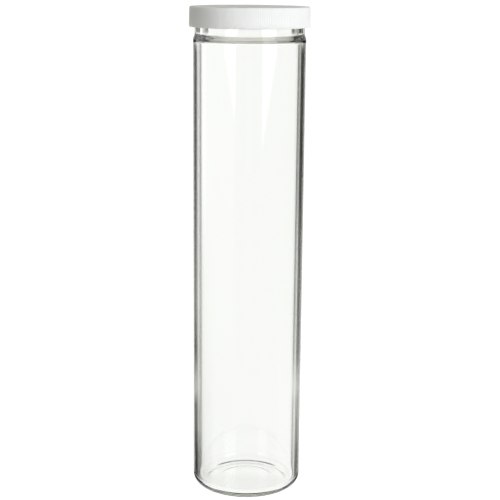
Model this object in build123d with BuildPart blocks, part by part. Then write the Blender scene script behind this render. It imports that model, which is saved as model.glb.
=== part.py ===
from build123d import *
import os
from math import cos, pi, radians, sin

# Museum specimen jar: a tall straight-sided glass cylinder with a 70-400 threaded neck, a white
# ribbed screw cap and the cap's three-ply liner. Millimetres, +Z up, origin at the base's centre.

# --- Driving dimensions ---------------------------------------------------------------------

# Glass jar
JAR_HEIGHT = 302.5            # base to lip
BODY_RADIUS = 34.5            # outside of the straight barrel
WALL = 3.0                    # barrel wall
FLOOR = 3.6                   # height of the inside floor above the resting surface
HEEL_RADIUS = 6.25            # outside corner between barrel and base
INNER_HEEL_RADIUS = 3.6       # inside corner between barrel and floor
BEARING_WIDTH = 1.0           # flat ring that the jar stands on
PUSH_UP = 0.9                 # hollow under the middle of the base
PUSH_UP_EDGE = 0.45           # height of the hollow's rounded edge beside the ring
PUSH_UP_EDGE_WIDTH = 4.4
SHOULDER_LOW = 285.5          # where the barrel starts to turn in, outside
SHOULDER_HIGH = 289.2         # where the neck starts, outside
INNER_SHOULDER_LOW = 283.6    # the same two places inside, where the glass is thicker
INNER_SHOULDER_HIGH = 289.2
NECK_RADIUS = 33.55           # outside of the neck, the root of its thread
BORE_RADIUS = 28.8            # inside of the neck
LIP_ROUND = 1.2               # both corners of the sealing lip

# 400 thread finish: six turns to the inch, right-handed
THREAD_PITCH = 25.4 / 6
THREAD_TURNS = 1.2
THREAD_CREST_RADIUS = 34.5    # outside of the jar's thread
THREAD_ROOT_WIDTH = 2.4
THREAD_CREST_WIDTH = 1.0
THREAD_TOP_DEPTH = 2.2        # lip down to the middle of the thread's upper end
THREAD_TOP_ANGLE = 200        # where that upper end is, degrees about +Z

# Screw cap
CAP_HEIGHT = 12.2
CAP_RADIUS = 37.0             # rib crests at the skirt's lower edge
CAP_DRAFT = 0.3               # how much smaller that radius is where the ribs end
CAP_TOP_PLATE = 1.6
CAP_EDGE_ROUND = 0.9          # smooth rounded edge above the ribs
CAP_BORE_RADIUS = 34.9        # inside of the skirt
CAP_LEAD_IN = 0.5             # chamfer at the skirt's lower inside edge
RIB_COUNT = 212
RIB_DEPTH = 0.28

# The cap's own thread, which hooks under the jar's
CAP_THREAD_CREST_RADIUS = 33.75
CAP_THREAD_ROOT_WIDTH = 1.8
CAP_THREAD_CREST_WIDTH = 0.8
CAP_THREAD_DROP = 1.55        # how far it lies below the jar's thread when closed
CAP_THREAD_TOP_DEPTH = 2.5    # lip down to the middle of its upper end

# Liner: a foam core between two solid skins
LINER_RADIUS = 34.3
SKIN = 0.15
FOAM = 0.8
SEAT_GAP = 0.1                # clearance between the lower skin and the lip

# Thread ridges: sections every few degrees, faded out at both ends, sunk a little into the wall
SECTION_STEP = 12
FADE_ANGLE = 30
FADED_SHARE = 0.06
THREAD_SINK = 0.3

# --- Heights that follow from them ------------------------------------------------------------

LINER_BOTTOM = JAR_HEIGHT + SEAT_GAP
CORE_BOTTOM = LINER_BOTTOM + SKIN
UPPER_SKIN_BOTTOM = CORE_BOTTOM + FOAM
LINER_TOP = UPPER_SKIN_BOTTOM + SKIN
CAP_TOP = LINER_TOP + CAP_TOP_PLATE
CAP_BOTTOM = CAP_TOP - CAP_HEIGHT
RIB_TOP = CAP_TOP - CAP_EDGE_ROUND


def thread_sections(root_radius, crest_radius, root_width, crest_width, top_z, top_angle):
    """Sections of one right-handed thread ridge, from its upper end downwards."""
    sections = []
    outward = 1 if crest_radius > root_radius else -1
    sunk_radius = root_radius - outward * THREAD_SINK
    sweep_angle = 360 * THREAD_TURNS
    count = round(sweep_angle / SECTION_STEP)
    for index in range(count + 1):
        turned = sweep_angle * index / count
        angle = radians(top_angle - turned)
        height = top_z - THREAD_PITCH * turned / 360
        from_end = min(turned, sweep_angle - turned)
        share = max(FADED_SHARE, min(1, from_end / FADE_ANGLE))
        crest = root_radius + (crest_radius - root_radius) * share
        narrowed = (1 + share) / 2
        place = Plane(
            origin=(0, 0, height),
            x_dir=(cos(angle), sin(angle), 0),
            z_dir=(sin(angle), -cos(angle), 0),
        )
        with BuildSketch(place) as section:
            Polygon(
                (sunk_radius, -root_width / 2 * narrowed),
                (crest, -crest_width / 2 * narrowed),
                (crest, crest_width / 2 * narrowed),
                (sunk_radius, root_width / 2 * narrowed),
                align=None,
            )
        sections.append(section.sketch)
    return sections


def rib_outline(crest_radius):
    """Corners of the cap's fluted outline, a crest and a root to each rib."""
    pitch = 2 * pi / RIB_COUNT
    root_radius = crest_radius * (1 - RIB_DEPTH / CAP_RADIUS)
    corners = []
    for rib in range(RIB_COUNT):
        crest_angle = rib * pitch
        root_angle = crest_angle + pitch / 2
        corners.append((crest_radius * cos(crest_angle), crest_radius * sin(crest_angle)))
        corners.append((root_radius * cos(root_angle), root_radius * sin(root_angle)))
    return corners


# --- Glass jar --------------------------------------------------------------------------------

bearing_outer = BODY_RADIUS - HEEL_RADIUS
bearing_inner = bearing_outer - BEARING_WIDTH
edge_inner = bearing_inner - PUSH_UP_EDGE_WIDTH
inner_radius = BODY_RADIUS - WALL
shoulder_third = (SHOULDER_HIGH - SHOULDER_LOW) / 3
inner_shoulder_third = (INNER_SHOULDER_HIGH - INNER_SHOULDER_LOW) / 3

with BuildPart() as glass_jar:
    with BuildSketch(Plane.XZ):
        with BuildLine():
            Bezier((0, PUSH_UP), (edge_inner / 2, PUSH_UP), (edge_inner, PUSH_UP_EDGE))
            Bezier(
                (edge_inner, PUSH_UP_EDGE),
                (edge_inner + PUSH_UP_EDGE_WIDTH / 3, PUSH_UP_EDGE),
                (bearing_inner - PUSH_UP_EDGE_WIDTH / 3, 0),
                (bearing_inner, 0),
            )
            Line((bearing_inner, 0), (bearing_outer, 0))
            RadiusArc((bearing_outer, 0), (BODY_RADIUS, HEEL_RADIUS), -HEEL_RADIUS)
            Line((BODY_RADIUS, HEEL_RADIUS), (BODY_RADIUS, SHOULDER_LOW))
            Bezier(
                (BODY_RADIUS, SHOULDER_LOW),
                (BODY_RADIUS, SHOULDER_LOW + shoulder_third),
                (NECK_RADIUS, SHOULDER_HIGH - shoulder_third),
                (NECK_RADIUS, SHOULDER_HIGH),
            )
            Line((NECK_RADIUS, SHOULDER_HIGH), (NECK_RADIUS, JAR_HEIGHT - LIP_ROUND))
            RadiusArc(
                (NECK_RADIUS, JAR_HEIGHT - LIP_ROUND),
                (NECK_RADIUS - LIP_ROUND, JAR_HEIGHT),
                -LIP_ROUND,
            )
            Line((NECK_RADIUS - LIP_ROUND, JAR_HEIGHT), (BORE_RADIUS + LIP_ROUND, JAR_HEIGHT))
            RadiusArc(
                (BORE_RADIUS + LIP_ROUND, JAR_HEIGHT),
                (BORE_RADIUS, JAR_HEIGHT - LIP_ROUND),
                -LIP_ROUND,
            )
            Line((BORE_RADIUS, JAR_HEIGHT - LIP_ROUND), (BORE_RADIUS, INNER_SHOULDER_HIGH))
            Bezier(
                (BORE_RADIUS, INNER_SHOULDER_HIGH),
                (BORE_RADIUS, INNER_SHOULDER_HIGH - inner_shoulder_third),
                (inner_radius, INNER_SHOULDER_LOW + inner_shoulder_third),
                (inner_radius, INNER_SHOULDER_LOW),
            )
            Line((inner_radius, INNER_SHOULDER_LOW), (inner_radius, FLOOR + INNER_HEEL_RADIUS))
            RadiusArc(
                (inner_radius, FLOOR + INNER_HEEL_RADIUS),
                (inner_radius - INNER_HEEL_RADIUS, FLOOR),
                INNER_HEEL_RADIUS,
            )
            Line((inner_radius - INNER_HEEL_RADIUS, FLOOR), (0, FLOOR))
            Line((0, FLOOR), (0, PUSH_UP))
        make_face()
    revolve(axis=Axis.Z)
    loft(
        thread_sections(
            NECK_RADIUS,
            THREAD_CREST_RADIUS,
            THREAD_ROOT_WIDTH,
            THREAD_CREST_WIDTH,
            JAR_HEIGHT - THREAD_TOP_DEPTH,
            THREAD_TOP_ANGLE,
        )
    )

# --- Screw cap --------------------------------------------------------------------------------

# Both threads lie on helices of the same pitch, so the cap's upper end is turned from the jar's
# by the angle that lowers it by CAP_THREAD_DROP when both are compared at one place.
crown_radius = CAP_RADIUS - CAP_DRAFT - RIB_DEPTH
cap_thread_below = CAP_THREAD_TOP_DEPTH - THREAD_TOP_DEPTH
cap_thread_angle = THREAD_TOP_ANGLE - 360 * (cap_thread_below - CAP_THREAD_DROP) / THREAD_PITCH

with BuildPart() as screw_cap:
    with BuildSketch(Plane.XY.offset(CAP_BOTTOM)):
        Polygon(*rib_outline(CAP_RADIUS), align=None)
    with BuildSketch(Plane.XY.offset(RIB_TOP)):
        Polygon(*rib_outline(CAP_RADIUS - CAP_DRAFT), align=None)
    loft(ruled=True)
    with BuildSketch(Plane.XZ):
        with BuildLine():
            Polyline(
                (crown_radius, RIB_TOP),
                (crown_radius, RIB_TOP - CAP_EDGE_ROUND),
                (0, RIB_TOP - CAP_EDGE_ROUND),
                (0, CAP_TOP),
                (crown_radius - CAP_EDGE_ROUND, CAP_TOP),
            )
            RadiusArc(
                (crown_radius, RIB_TOP),
                (crown_radius - CAP_EDGE_ROUND, CAP_TOP),
                -CAP_EDGE_ROUND,
            )
        make_face()
    revolve(axis=Axis.Z)
    with BuildSketch(Plane.XZ):
        with BuildLine():
            Polyline(
                (0, CAP_BOTTOM),
                (CAP_BORE_RADIUS + CAP_LEAD_IN, CAP_BOTTOM),
                (CAP_BORE_RADIUS, CAP_BOTTOM + CAP_LEAD_IN),
                (CAP_BORE_RADIUS, LINER_TOP),
                (0, LINER_TOP),
                close=True,
            )
        make_face()
    revolve(axis=Axis.Z, mode=Mode.SUBTRACT)
    loft(
        thread_sections(
            CAP_BORE_RADIUS,
            CAP_THREAD_CREST_RADIUS,
            CAP_THREAD_ROOT_WIDTH,
            CAP_THREAD_CREST_WIDTH,
            JAR_HEIGHT - CAP_THREAD_TOP_DEPTH,
            cap_thread_angle,
        )
    )

# --- Liner plies ------------------------------------------------------------------------------

with BuildPart() as liner_lower_skin:
    with BuildSketch(Plane.XY.offset(LINER_BOTTOM)):
        Circle(LINER_RADIUS)
    extrude(amount=SKIN)

with BuildPart() as liner_foam_core:
    with BuildSketch(Plane.XY.offset(CORE_BOTTOM)):
        Circle(LINER_RADIUS)
    extrude(amount=FOAM)

with BuildPart() as liner_upper_skin:
    with BuildSketch(Plane.XY.offset(UPPER_SKIN_BOTTOM)):
        Circle(LINER_RADIUS)
    extrude(amount=SKIN)

# --- Files ------------------------------------------------------------------------------------

os.makedirs("parts", exist_ok=True)

for name, built in (
    ("glass_jar", glass_jar),
    ("screw_cap", screw_cap),
    ("liner_lower_skin", liner_lower_skin),
    ("liner_foam_core", liner_foam_core),
    ("liner_upper_skin", liner_upper_skin),
):
    built.part.label = name
    export_step(built.part, f"parts/{name}.step")
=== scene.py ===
import math

import bmesh
import bpy
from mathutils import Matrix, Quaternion, Vector


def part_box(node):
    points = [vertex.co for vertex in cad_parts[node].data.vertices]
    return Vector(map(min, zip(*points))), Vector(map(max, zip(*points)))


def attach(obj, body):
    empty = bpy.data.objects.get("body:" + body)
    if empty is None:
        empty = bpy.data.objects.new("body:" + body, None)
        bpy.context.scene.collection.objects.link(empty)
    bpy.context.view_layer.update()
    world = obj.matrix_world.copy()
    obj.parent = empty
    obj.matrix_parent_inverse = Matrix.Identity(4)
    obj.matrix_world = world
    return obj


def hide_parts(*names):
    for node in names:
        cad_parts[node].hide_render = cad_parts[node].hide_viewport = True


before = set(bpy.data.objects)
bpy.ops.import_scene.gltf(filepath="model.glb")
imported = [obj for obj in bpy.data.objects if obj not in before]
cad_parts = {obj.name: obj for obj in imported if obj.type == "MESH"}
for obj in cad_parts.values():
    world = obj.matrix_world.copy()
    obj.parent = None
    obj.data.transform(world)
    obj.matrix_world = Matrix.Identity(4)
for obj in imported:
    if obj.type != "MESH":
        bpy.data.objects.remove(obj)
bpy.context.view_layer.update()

MM = 0.001

# --- Sizes, in millimetres and degrees ---------------------------------------------------------

# The outer sizes come from the frame.
_, jar_high = (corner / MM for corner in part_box("glass_jar"))
cap_low, cap_high = (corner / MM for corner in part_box("screw_cap"))
_, liner_high = (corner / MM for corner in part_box("liner_upper_skin"))

JAR_HEIGHT = jar_high.z
BODY_RADIUS = jar_high.x
WALL = 3.0
FLOOR_THICKNESS = 3.6
HEEL_RADIUS = 6.25
INNER_HEEL_RADIUS = 3.6
# The height, above both heels, where the rows of the straight walls start.
STRAIGHT_FROM = 12.0
BEARING_WIDTH = 1.0
PUSH_UP = 0.9
PUSH_UP_EDGE = 0.45
PUSH_UP_EDGE_WIDTH = 4.4
MARK_RADIUS = 17.0
MARK_WIDTH = 1.0
MARK_DEPTH = 0.05
SHOULDER_LOW = JAR_HEIGHT - 17.0
SHOULDER_HIGH = JAR_HEIGHT - 13.3
INNER_SHOULDER_LOW = JAR_HEIGHT - 18.9
INNER_SHOULDER_HIGH = JAR_HEIGHT - 13.3
NECK_RADIUS = BODY_RADIUS - 0.95
BORE_RADIUS = NECK_RADIUS - 4.75
BORE_TOP = JAR_HEIGHT - 3.0
LIP_ROUND = 1.2

THREAD_PITCH = 25.4 / 6
THREAD_TURNS = 1.2
THREAD_FADE = 30.0
# How far each thread stands out, half its width at the foot and at the crest, and the height and the
# direction of its upper end.
JAR_THREAD = {
    "height": BODY_RADIUS - NECK_RADIUS,
    "foot": 1.2,
    "crest": 0.35,
    "top": JAR_HEIGHT - 2.2,
    "angle": 200.0,
}

CAP_RADIUS = cap_high.x
CAP_BOTTOM = cap_low.z
CAP_TOP = cap_high.z
CAP_DRAFT = 0.3
CAP_EDGE_ROUND = 0.9
CAP_BORE_RADIUS = 34.9
CAP_LEAD_IN = 0.5
CAP_CEILING = liner_high.z
CAP_INNER_ROUND = 0.5
CAP_BORE_TOP = CAP_CEILING - 1.4
CAP_BOTTOM_ROUND = 0.3
RIB_COUNT = 212
RIB_DEPTH = 0.28
# Whatever lies further out than this is the ribbed outside.
CAP_OUTSIDE_FROM = CAP_BORE_RADIUS + CAP_LEAD_IN + 0.1
# How far the cap's thread lies below the jar's.
CAP_THREAD_DROP = 1.55
CAP_THREAD = {"height": 1.15, "foot": 0.9, "crest": 0.3, "top": JAR_HEIGHT - 2.5}
CAP_THREAD["angle"] = JAR_THREAD["angle"] - 360 * (
    JAR_THREAD["top"] - CAP_THREAD["top"] - CAP_THREAD_DROP
) / THREAD_PITCH

# Places nearer than this are the same place.
HAIR = 0.01


# --- Camera ------------------------------------------------------------------------------------

CAMERA_PITCH = math.radians(12.73)
CAMERA_ROLL = math.radians(0.488)
CAMERA_PLACE = (1.29 * MM, -760 * MM, 326 * MM)
CAMERA_LENS = 88.9
CAMERA_SENSOR = 36


def add_camera():
    camera = bpy.data.cameras.new("camera")
    camera.sensor_width = CAMERA_SENSOR
    camera.lens = CAMERA_LENS
    holder = bpy.data.objects.new("camera", camera)
    bpy.context.scene.collection.objects.link(holder)
    forward = Vector((0, math.cos(CAMERA_PITCH), -math.sin(CAMERA_PITCH)))
    holder.location = CAMERA_PLACE
    holder.rotation_mode = "QUATERNION"
    holder.rotation_quaternion = forward.to_track_quat("-Z", "Y") @ Quaternion((0, 0, 1), CAMERA_ROLL)
    bpy.context.scene.camera = holder


# --- Studio ------------------------------------------------------------------------------------

# The studio is a ring of light and dark panels around the jar, far away, which the glass shows at
# its edges. Each panel has its edges in degrees around the jar (0 behind it, 90 to the right, 180 in
# front), its lower and upper edge in degrees above the horizon, how far those two slant (degrees up
# for each degree around), and its brightness, which runs smoothly through the given levels, each with
# its height in degrees above the horizon. A later panel stands in front of an earlier one.
ROOM_LEVEL = 0.7
PANELS = (
    ("ceiling", -180, 180, 6, 95, 0, ((0, 0.42),)),
    ("left_wall", -130, -40, 6, 95, 0, ((0, 0.25),)),
    ("back_wall", -90, 90, 10, 30, 0, ((28, 0.42), (16, 1.3))),
    ("front_left_wall", -150, -98, -90, 6, 0, ((-8, 0.9), (-15, 0.8), (-20.5, 0.65))),
    ("left_softbox_edge", -98, -78, -90, 20, 0, ((-8, 0.95), (-15, 0.77), (-20.5, 0.4), (-22.5, 0.15))),
    ("left_softbox", -78, -56, -90, 20, 0, ((-8, 1.3), (-15, 0.65), (-20.5, 0.35), (-22.5, 0.0))),
    ("left_fill", -56, -40, -90, 20, 0, ((-8, 1.05), (-15, 0.95), (-20.5, 0.6), (-22.5, 0.2))),
    ("right_softbox", 60, 110, -90, 60, 0, ((-8, 0.72), (-15, 0.76), (-20.5, 0.85))),
    ("right_softbox_edge", 52, 60, -90, 60, 0, ((-8, 0.65), (-15, 0.7), (-20.5, 1.0))),
    ("right_fill", 42, 52, -90, 60, 0, ((-8, 0.35), (-15, 0.8), (-20.5, 0.9), (-22.5, 0.75))),
    ("key_softbox", 123, 152, -5.6, 50, -0.15, ((0, 2.6),)),
    ("front_strip", -151, -128, -5.0, 25, 0.14, ((0, 2.1),)),
    ("left_flag", -40, -15, -90, -1, 0,
     ((-8, 0.09), (-15, 0.2), (-17.3, 0.1), (-19.1, 0.46), (-20.0, 0.11), (-22.5, 0.02))),
    ("left_flag_edge", -19, -15, -90, -1, 0, ((-8, 0.06), (-15, 0.3), (-19.1, 0.3), (-20.5, 0.45))),
    ("right_flag", 15, 42, -90, -1, 0,
     ((-8, 0.0), (-15, 0.08), (-17.3, 0.12), (-19.0, 0.5), (-19.8, 0.32), (-20.8, 0.22), (-22.5, 0.05))),
    ("right_slit", 24, 29, -90, -1, 0, ((-8, 0.2), (-15, 0.5), (-20.8, 0.6), (-22.5, 0.45))),
    ("backdrop", -15.5, 16, -90, 12, 0, ((0, 0.98),)),
)
SOFTNESS_AROUND = 2.0
SOFTNESS_ABOVE = 1.6

# Under the panels lies a white table, which begins to show at the first of these heights and is all
# that shows from the second one down.
TABLE_LEVEL = 1.0
TABLE_FROM = -25
TABLE_TO = -38

# Seen from its sides and its back, the jar stands in front of a plain backdrop too. It is what light
# shows that has crossed all four surfaces of the two walls. It starts this far to either side of
# straight behind the jar, and ends this far above the horizon.
SURFACES_CROSSED = 4
CLEAR_LEVEL = 0.99
CLEAR_FROM = 40
CLEAR_TOP = 5

# Past straight down, so that an area that starts there has no soft lower edge.
LOWEST = -95

# The room is a little olive where it is dim.
DIM_TINT = (1.0, 1.01, 0.90)
WHITE = (1.0, 1.0, 1.0)

# What matt surfaces are lit by: an even olive-grey room, dimmer overhead, and a bright backdrop
# behind, which lights them more through the glass than directly.
AMBIENT = (0.415, 0.42, 0.381)
OVERHEAD_SHARE = 0.78
OVERHEAD_FROM = 10
OVERHEAD_TO = 50
BACKLIGHT_LEVEL = 2.4
BACKLIGHT_IN_GLASS = 6.0
BACKLIGHT_HALF_WIDTH = 40
BACKLIGHT_TOP = 6

# The key light stands low in front, to the right.
KEY_AROUND = 147
KEY_ABOVE = 3
KEY_DISTANCE = 3.0
KEY_SIZE = 1.6
KEY_POWER = 95
KEY_COLOUR = (0.96, 0.97, 1.0)

STUDIO_FLOOR_SIZE = 30
STUDIO_FLOOR_COLOUR = (0.9, 0.9, 0.9)
STUDIO_FLOOR_ROUGHNESS = 0.9
STUDIO_FLOOR_GLOW = 0.75


class StudioNodes:
    """The world's nodes, and the few kinds of sum that the studio is made of."""

    def __init__(self, tree):
        self.nodes = tree.nodes
        self.links = tree.links
        self.nodes.clear()
        self.path = self.nodes.new("ShaderNodeLightPath").outputs
        direction = self.nodes.new("ShaderNodeTexCoord")
        parts = self.nodes.new("ShaderNodeSeparateXYZ")
        self.links.new(direction.outputs["Generated"], parts.inputs[0])
        turned = self.calculate("ARCTAN2", parts.outputs["X"], parts.outputs["Y"])
        self.around = self.calculate("DEGREES", turned)
        self.above = self.calculate("DEGREES", self.calculate("ARCSINE", parts.outputs["Z"]))

    def calculate(self, operation, *values):
        node = self.nodes.new("ShaderNodeMath")
        node.operation = operation
        for socket, value in zip(node.inputs, values):
            if isinstance(value, (int, float)):
                socket.default_value = value
            else:
                self.links.new(value, socket)
        return node.outputs[0]

    def ramp(self, value, low, high, low_result=0.0, high_result=1.0):
        node = self.nodes.new("ShaderNodeMapRange")
        node.interpolation_type = "SMOOTHSTEP"
        self.links.new(value, node.inputs["Value"])
        node.inputs["From Min"].default_value = low
        node.inputs["From Max"].default_value = high
        node.inputs["To Min"].default_value = low_result
        node.inputs["To Max"].default_value = high_result
        return node.outputs["Result"]

    def between(self, value, low, high, softness):
        """One between the two limits and nothing outside them, with soft edges."""
        soft = softness / 2
        return self.calculate(
            "SUBTRACT",
            self.ramp(value, low - soft, low + soft),
            self.ramp(value, high - soft, high + soft),
        )

    def without(self, area):
        return self.calculate("SUBTRACT", 1.0, area)

    def cover(self, level, area, new_level):
        """The level everywhere, with a new level over one area."""
        kept = self.calculate("MULTIPLY", level, self.without(area))
        return self.calculate("MULTIPLY_ADD", area, new_level, kept)

    def graded(self, levels):
        """A level that runs smoothly through the given ones, each with its height."""
        total = levels[0][1]
        for (high, high_level), (low, low_level) in zip(levels, levels[1:]):
            step = self.ramp(self.above, low, high, low_level - high_level, 0.0)
            total = self.calculate("ADD", step, total)
        return total

    def panel(self, start, end, bottom, top, slant):
        """The area of one panel."""
        across = self.calculate("SUBTRACT", self.around, (start + end) / 2)
        height = self.calculate("SUBTRACT", self.above, self.calculate("MULTIPLY", across, slant))
        return self.calculate(
            "MULTIPLY",
            self.between(self.around, start, end, SOFTNESS_AROUND),
            self.between(height, bottom, top, SOFTNESS_ABOVE),
        )

    def crossed(self, surfaces):
        """One for light that has crossed at least so many surfaces of the glass."""
        return self.calculate("GREATER_THAN", self.path["Transmission Depth"], surfaces - 0.5)

    def scaled(self, colour, factor):
        node = self.nodes.new("ShaderNodeVectorMath")
        node.operation = "SCALE"
        if isinstance(colour, tuple):
            node.inputs[0].default_value = colour
        else:
            self.links.new(colour, node.inputs[0])
        self.links.new(factor, node.inputs["Scale"])
        return node.outputs[0]

    def added(self, first, second):
        node = self.nodes.new("ShaderNodeVectorMath")
        node.operation = "ADD"
        self.links.new(first, node.inputs[0])
        self.links.new(second, node.inputs[1])
        return node.outputs[0]

    def mixed(self, factor, first, second):
        node = self.nodes.new("ShaderNodeMix")
        node.data_type = "RGBA"
        sockets = [socket for socket in node.inputs if socket.type == "RGBA"]
        self.links.new(factor, node.inputs["Factor"])
        for socket, value in zip(sockets, (first, second)):
            if isinstance(value, tuple):
                socket.default_value = (*value, 1)
            else:
                self.links.new(value, socket)
        return next(socket for socket in node.outputs if socket.type == "RGBA")


def seen_in_glass(studio):
    """What the glass shows: the panels, the table, and from the sides and back a plain backdrop."""
    level = ROOM_LEVEL
    for name, start, end, bottom, top, slant, levels in PANELS:
        area = studio.panel(start, end, bottom, top, slant)
        area.node.label = name
        level = studio.cover(level, area, studio.graded(levels))
    on_table = studio.ramp(studio.above, TABLE_TO, TABLE_FROM, 1.0, 0.0)
    level = studio.cover(level, on_table, TABLE_LEVEL)
    in_front = studio.between(studio.around, -CLEAR_FROM, CLEAR_FROM, SOFTNESS_AROUND)
    beside = studio.calculate("MULTIPLY", studio.crossed(SURFACES_CROSSED), studio.without(in_front))
    below_top = studio.between(studio.above, LOWEST, CLEAR_TOP, SOFTNESS_ABOVE)
    clear = studio.calculate("MULTIPLY", beside, below_top)
    level = studio.cover(level, clear, CLEAR_LEVEL)
    return studio.scaled(studio.mixed(level, DIM_TINT, WHITE), level)


def light_on_matt_surfaces(studio):
    overhead = studio.ramp(studio.above, OVERHEAD_FROM, OVERHEAD_TO, 1.0, OVERHEAD_SHARE)
    behind = studio.between(
        studio.around, -BACKLIGHT_HALF_WIDTH, BACKLIGHT_HALF_WIDTH, SOFTNESS_AROUND
    )
    below_top = studio.between(studio.above, LOWEST, BACKLIGHT_TOP, SOFTNESS_ABOVE)
    more = BACKLIGHT_IN_GLASS - BACKLIGHT_LEVEL
    strength = studio.calculate("MULTIPLY_ADD", studio.crossed(1), more, BACKLIGHT_LEVEL)
    backlight = studio.calculate("MULTIPLY", studio.calculate("MULTIPLY", behind, below_top), strength)
    return studio.added(studio.scaled(AMBIENT, overhead), backlight)


def add_world():
    """Glass shows one studio, matt surfaces are lit by another, and the camera sees plain white."""
    world = bpy.data.worlds.new("studio")
    bpy.context.scene.world = world
    world.use_nodes = True
    studio = StudioNodes(world.node_tree)
    on_matt = studio.path["Is Diffuse Ray"]
    light = studio.mixed(on_matt, seen_in_glass(studio), light_on_matt_surfaces(studio))
    shown = studio.mixed(studio.path["Is Camera Ray"], light, WHITE)
    background = studio.nodes.new("ShaderNodeBackground")
    output = studio.nodes.new("ShaderNodeOutputWorld")
    studio.links.new(shown, background.inputs["Color"])
    studio.links.new(background.outputs[0], output.inputs[0])


def add_key_light():
    """The key light on matt surfaces. In the glass the panel key_softbox stands for it."""
    lamp = bpy.data.lights.new("key_light", "AREA")
    lamp.shape = "SQUARE"
    lamp.size = KEY_SIZE
    lamp.energy = KEY_POWER
    lamp.color = KEY_COLOUR
    holder = bpy.data.objects.new("key_light", lamp)
    bpy.context.scene.collection.objects.link(holder)
    around = math.radians(KEY_AROUND)
    above = math.radians(KEY_ABOVE)
    flat = math.cos(above)
    toward = Vector((math.sin(around) * flat, math.cos(around) * flat, math.sin(above)))
    holder.location = Vector((0, 0, CAP_BOTTOM * MM)) + toward * KEY_DISTANCE
    holder.rotation_mode = "QUATERNION"
    holder.rotation_quaternion = (-toward).to_track_quat("-Z", "Y")
    holder.visible_camera = False
    holder.visible_glossy = False
    holder.visible_transmission = False


def add_floor():
    """A plain floor for the camera only, so that the jar has no grey reflection of it."""
    bpy.ops.mesh.primitive_plane_add(size=STUDIO_FLOOR_SIZE)
    floor = bpy.context.object
    floor.name = "floor"
    material = bpy.data.materials.new("pale_floor")
    material.use_nodes = True
    shader = material.node_tree.nodes["Principled BSDF"]
    shader.inputs["Base Color"].default_value = (*STUDIO_FLOOR_COLOUR, 1)
    shader.inputs["Roughness"].default_value = STUDIO_FLOOR_ROUGHNESS
    shader.inputs["Emission Color"].default_value = (*WHITE, 1)
    shader.inputs["Emission Strength"].default_value = STUDIO_FLOOR_GLOW
    floor.data.materials.append(material)
    floor.visible_transmission = False
    floor.visible_glossy = False
    floor.visible_diffuse = False


# --- Mesh helpers ------------------------------------------------------------------------------


def arc(centre_r, centre_z, radius, start, end, steps):
    """Points of an arc in the (r, z) plane, angles in degrees from the +r direction."""
    points = []
    for index in range(steps + 1):
        angle = math.radians(start + (end - start) * index / steps)
        points.append((centre_r + radius * math.cos(angle), centre_z + radius * math.sin(angle)))
    return points


def s_curve(r_start, z_start, r_end, z_end, steps):
    """A smooth step in radius between two heights, upright at both ends, without its end points."""
    points = []
    for index in range(1, steps):
        t = index / steps
        points.append((r_start + (r_end - r_start) * smooth(t), z_start + (z_end - z_start) * t))
    return points


def rows(radius, z_start, z_end, count):
    """Evenly spaced rows along a straight wall."""
    return [(radius, z_start + (z_end - z_start) * index / count) for index in range(count + 1)]


def smooth(t):
    t = min(1.0, max(0.0, t))
    return t * t * (3 - 2 * t)


def mark_depth(r):
    """The faint ring that the mould leaves under the base."""
    return MARK_DEPTH * smooth(1 - abs(r - MARK_RADIUS) / MARK_WIDTH)


def thread_height(thread, angle, z):
    """How far a right-handed thread stands out of its wall at one place."""
    best = 0.0
    for turn in range(math.ceil(THREAD_TURNS)):
        turned = (thread["angle"] - angle) % 360 + 360 * turn
        if turned > 360 * THREAD_TURNS:
            continue
        fade = smooth(min(turned, 360 * THREAD_TURNS - turned) / THREAD_FADE)
        away = abs(z - (thread["top"] - THREAD_PITCH * turned / 360))
        reach = (thread["foot"] - away) / (thread["foot"] - thread["crest"])
        best = max(best, thread["height"] * smooth(reach) * fade)
    return best


def turned_mesh(name, profile, segments, radius_at):
    """A closed skin turned from a profile whose two ends lie on the axis."""
    shape = bmesh.new()
    rings = []
    for r, z in profile:
        if r == 0:
            rings.append([shape.verts.new((0, 0, z * MM))])
            continue
        ring = []
        for index in range(segments):
            degrees = 360 * index / segments
            angle = math.radians(degrees)
            own = radius_at(r, z, degrees) * MM
            ring.append(shape.verts.new((own * math.cos(angle), own * math.sin(angle), z * MM)))
        rings.append(ring)
    for low, high in zip(rings, rings[1:]):
        for index in range(segments):
            after = (index + 1) % segments
            if len(low) == 1:
                shape.faces.new((low[0], high[after], high[index]))
            elif len(high) == 1:
                shape.faces.new((low[index], low[after], high[0]))
            else:
                shape.faces.new((low[index], low[after], high[after], high[index]))
    if shape.calc_volume(signed=True) < 0:
        bmesh.ops.reverse_faces(shape, faces=shape.faces)
    mesh = bpy.data.meshes.new(name)
    shape.to_mesh(mesh)
    shape.free()
    mesh.polygons.foreach_set("use_smooth", [True] * len(mesh.polygons))
    piece = bpy.data.objects.new(name, mesh)
    bpy.context.scene.collection.objects.link(piece)
    return piece


# --- Materials ---------------------------------------------------------------------------------

GLASS_ABSORPTION = (0.895, 0.94, 0.77)
GLASS_DENSITY = 14.0

# Nearly all of a noise pattern's values lie between these two.
PATTERN_LOW = 0.3
PATTERN_HIGH = 0.7


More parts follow.
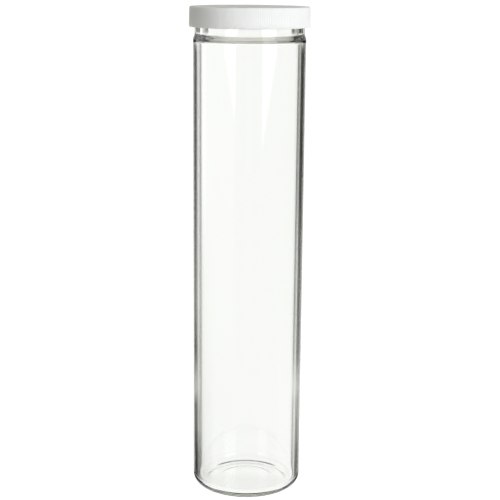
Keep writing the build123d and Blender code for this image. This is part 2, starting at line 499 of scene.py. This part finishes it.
class Surface:
    """A Principled material with the few procedural textures that these plastics and glass need."""

    def __init__(self, name):
        self.material = bpy.data.materials.new(name)
        self.material.use_nodes = True
        self.nodes = self.material.node_tree.nodes
        self.links = self.material.node_tree.links
        self.shader = self.nodes["Principled BSDF"]
        self.place = self.nodes.new("ShaderNodeTexCoord").outputs["Object"]

    def value(self, name, value):
        self.shader.inputs[name].default_value = value

    def noise(self, size, stretch=(1, 1, 1), detail=3.0):
        """Smooth noise with features of about the given size in millimetres."""
        mapping = self.nodes.new("ShaderNodeMapping")
        mapping.inputs["Scale"].default_value = stretch
        self.links.new(self.place, mapping.inputs["Vector"])
        texture = self.nodes.new("ShaderNodeTexNoise")
        texture.inputs["Scale"].default_value = 1 / (size * MM)
        texture.inputs["Detail"].default_value = detail
        self.links.new(mapping.outputs[0], texture.inputs["Vector"])
        return texture.outputs["Fac"]

    def cells(self, size):
        """Closed cells of about the given size in millimetres."""
        texture = self.nodes.new("ShaderNodeTexVoronoi")
        texture.inputs["Scale"].default_value = 1 / (size * MM)
        self.links.new(self.place, texture.inputs["Vector"])
        return texture.outputs["Distance"]

    def colour(self, pattern, low, high):
        ramp = self.nodes.new("ShaderNodeValToRGB")
        ramp.color_ramp.elements[0].position = PATTERN_LOW
        ramp.color_ramp.elements[0].color = (*low, 1)
        ramp.color_ramp.elements[1].position = PATTERN_HIGH
        ramp.color_ramp.elements[1].color = (*high, 1)
        self.links.new(pattern, ramp.inputs["Fac"])
        self.links.new(ramp.outputs["Color"], self.shader.inputs["Base Color"])

    def roughness(self, pattern, low, high):
        span = self.nodes.new("ShaderNodeMapRange")
        span.inputs["From Min"].default_value = PATTERN_LOW
        span.inputs["From Max"].default_value = PATTERN_HIGH
        span.inputs["To Min"].default_value = low
        span.inputs["To Max"].default_value = high
        self.links.new(pattern, span.inputs["Value"])
        self.links.new(span.outputs["Result"], self.shader.inputs["Roughness"])

    def relief(self, pattern, depth, strength):
        """Surface relief of the given depth in millimetres."""
        bump = self.nodes.new("ShaderNodeBump")
        bump.inputs["Strength"].default_value = strength
        bump.inputs["Distance"].default_value = depth * MM
        self.links.new(pattern, bump.inputs["Height"])
        self.links.new(bump.outputs["Normal"], self.shader.inputs["Normal"])


def glass_material():
    glass = Surface("clear_glass")
    glass.value("IOR", 1.52)
    glass.value("Transmission Weight", 1.0)
    melt = glass.noise(size=24, stretch=(1, 1, 0.25))
    glass.colour(melt, low=(0.99, 1.0, 0.99), high=WHITE)
    glass.roughness(glass.noise(size=9, detail=6.0), low=0.0, high=0.006)
    glass.relief(melt, depth=0.03, strength=0.15)
    absorption = glass.nodes.new("ShaderNodeVolumeAbsorption")
    absorption.inputs["Color"].default_value = (*GLASS_ABSORPTION, 1)
    absorption.inputs["Density"].default_value = GLASS_DENSITY
    glass.links.new(absorption.outputs[0], glass.nodes["Material Output"].inputs["Volume"])
    return glass.material


def cap_material():
    cap = Surface("white_polypropylene")
    cap.value("Specular IOR Level", 0.3)
    cap.value("Subsurface Weight", 0.75)
    cap.value("Subsurface Radius", (1.0, 0.97, 0.9))
    cap.value("Subsurface Scale", 6 * MM)
    cap.colour(
        cap.noise(size=7, stretch=(1, 1, 0.4)), low=(0.85, 0.85, 0.84), high=(0.875, 0.875, 0.867)
    )
    cap.roughness(cap.noise(size=1.5, detail=6.0), low=0.44, high=0.56)
    cap.relief(cap.noise(size=0.35, detail=6.0), depth=0.02, strength=0.25)
    return cap.material


def film_material():
    film = Surface("liner_film")
    film.colour(film.noise(size=5), low=(0.87, 0.87, 0.85), high=(0.92, 0.92, 0.90))
    film.roughness(film.noise(size=2, detail=6.0), low=0.2, high=0.34)
    film.relief(film.noise(size=0.8), depth=0.01, strength=0.3)
    return film.material


def foam_material():
    foam = Surface("liner_foam")
    cells = foam.cells(size=0.35)
    foam.colour(cells, low=(0.80, 0.80, 0.77), high=(0.9, 0.9, 0.87))
    foam.roughness(foam.noise(size=1), low=0.75, high=0.9)
    foam.relief(cells, depth=0.08, strength=0.6)
    return foam.material


# --- Glass jar ---------------------------------------------------------------------------------

GLASS_SEGMENTS = 512
DOME_ROWS = 48
EDGE_ROWS = 16
HEEL_ROWS = 14
WALL_ROWS = 24
SHOULDER_ROWS = 24
NECK_ROWS = 60
LIP_ROWS = 8
BORE_ROWS = 8
INNER_HEEL_ROWS = 12
# Rings across the flat of the inner floor, as shares of its radius.
INNER_FLOOR_RINGS = (0.9, 0.75, 0.6, 0.45, 0.3, 0.15, 0)


def base_profile():
    """The underside from the axis out: a shallow hollow, its rounded edge and the bearing ring."""
    bearing_inner = BODY_RADIUS - HEEL_RADIUS - BEARING_WIDTH
    edge_inner = bearing_inner - PUSH_UP_EDGE_WIDTH
    points = []
    for index in range(DOME_ROWS):
        t = index / DOME_ROWS
        height = PUSH_UP_EDGE + (PUSH_UP - PUSH_UP_EDGE) * (1 - t * t)
        points.append((edge_inner * t, height - mark_depth(edge_inner * t)))
    for index in range(EDGE_ROWS + 1):
        t = index / EDGE_ROWS
        points.append((edge_inner + PUSH_UP_EDGE_WIDTH * t, PUSH_UP_EDGE * (1 - smooth(t))))
    return points


def make_jar():
    inner_radius = BODY_RADIUS - WALL
    corner = inner_radius - INNER_HEEL_RADIUS
    lip_round_z = JAR_HEIGHT - LIP_ROUND
    profile = base_profile()
    profile += arc(BODY_RADIUS - HEEL_RADIUS, HEEL_RADIUS, HEEL_RADIUS, -90, 0, HEEL_ROWS)
    profile += rows(BODY_RADIUS, STRAIGHT_FROM, SHOULDER_LOW, WALL_ROWS)
    profile += s_curve(BODY_RADIUS, SHOULDER_LOW, NECK_RADIUS, SHOULDER_HIGH, SHOULDER_ROWS)
    profile += rows(NECK_RADIUS, SHOULDER_HIGH, lip_round_z, NECK_ROWS)
    profile += arc(NECK_RADIUS - LIP_ROUND, lip_round_z, LIP_ROUND, 0, 90, LIP_ROWS)[1:]
    profile += arc(BORE_RADIUS + LIP_ROUND, lip_round_z, LIP_ROUND, 90, 180, LIP_ROWS)
    profile += rows(BORE_RADIUS, BORE_TOP, INNER_SHOULDER_HIGH, BORE_ROWS)
    profile += s_curve(
        BORE_RADIUS, INNER_SHOULDER_HIGH, inner_radius, INNER_SHOULDER_LOW, SHOULDER_ROWS
    )
    profile += rows(inner_radius, INNER_SHOULDER_LOW, STRAIGHT_FROM, WALL_ROWS)
    inner_heel_z = FLOOR_THICKNESS + INNER_HEEL_RADIUS
    profile += arc(corner, inner_heel_z, INNER_HEEL_RADIUS, 0, -90, INNER_HEEL_ROWS)
    profile += [(corner * share, FLOOR_THICKNESS) for share in INNER_FLOOR_RINGS]

    def radius_at(r, z, degrees):
        if r < NECK_RADIUS - HAIR or z < SHOULDER_HIGH:
            return r
        return r + thread_height(JAR_THREAD, degrees, z)

    jar = turned_mesh("jar_glass", profile, GLASS_SEGMENTS, radius_at)
    jar.data.materials.append(glass_material())
    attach(jar, "jar")
    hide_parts("glass_jar")


# --- Screw cap ---------------------------------------------------------------------------------

CAP_SEGMENTS = RIB_COUNT * 4
# Rings across the flat ceiling and top, as radii, and rows up the ribbed side, as shares of it.
CAP_CEILING_RINGS = (0, 12, 24, 32)
CAP_TOP_RINGS = (34, 28, 20, 12, 6, 0)
CAP_SIDE_ROWS = (0.2, 0.5, 0.8)
CAP_CORNER_ROWS = 4
CAP_BORE_ROWS = 36
CAP_BOTTOM_ROWS = 3
CAP_EDGE_ROWS = 8


def make_cap():
    crown = CAP_RADIUS - CAP_DRAFT - CAP_EDGE_ROUND
    rib_top = CAP_TOP - CAP_EDGE_ROUND
    rib_bottom = CAP_BOTTOM + CAP_BOTTOM_ROUND
    corner = CAP_BORE_RADIUS - CAP_INNER_ROUND
    profile = [(r, CAP_CEILING) for r in CAP_CEILING_RINGS]
    profile += arc(corner, CAP_CEILING - CAP_INNER_ROUND, CAP_INNER_ROUND, 90, 0, CAP_CORNER_ROWS)
    profile += rows(CAP_BORE_RADIUS, CAP_BORE_TOP, CAP_BOTTOM + CAP_LEAD_IN, CAP_BORE_ROWS)
    profile += [(CAP_BORE_RADIUS + CAP_LEAD_IN, CAP_BOTTOM)]
    profile += arc(
        CAP_RADIUS - CAP_BOTTOM_ROUND, rib_bottom, CAP_BOTTOM_ROUND, -90, 0, CAP_BOTTOM_ROWS
    )
    profile += [
        (CAP_RADIUS - CAP_DRAFT * share, rib_bottom + (rib_top - rib_bottom) * share)
        for share in CAP_SIDE_ROWS
    ]
    profile += arc(crown, rib_top, CAP_EDGE_ROUND, 0, 90, CAP_EDGE_ROWS)
    profile += [(r, CAP_TOP) for r in CAP_TOP_RINGS]

    def radius_at(r, z, degrees):
        if r > CAP_OUTSIDE_FROM:
            wave = (1 - math.cos(math.radians(degrees * RIB_COUNT))) / 2
            below_edge = smooth((CAP_TOP - z) / CAP_EDGE_ROUND)
            return r - RIB_DEPTH * wave * below_edge
        in_bore = r > CAP_BORE_RADIUS - HAIR and CAP_BOTTOM + HAIR < z < CAP_CEILING - HAIR
        return r - thread_height(CAP_THREAD, degrees, z) if in_bore else r

    cap = turned_mesh("cap_shell", profile, CAP_SEGMENTS, radius_at)
    cap.data.materials.append(cap_material())
    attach(cap, "cap")
    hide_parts("screw_cap")


# --- Liner -------------------------------------------------------------------------------------


def dress_liner():
    film = film_material()
    foam = foam_material()
    for node, material in (
        ("liner_lower_skin", film),
        ("liner_foam_core", foam),
        ("liner_upper_skin", film),
    ):
        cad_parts[node].data.materials[0] = material


# --- Build -------------------------------------------------------------------------------------

bpy.context.scene.view_settings.view_transform = "Standard"
add_camera()
add_world()
add_key_light()
add_floor()
make_jar()
make_cap()
dress_liner()
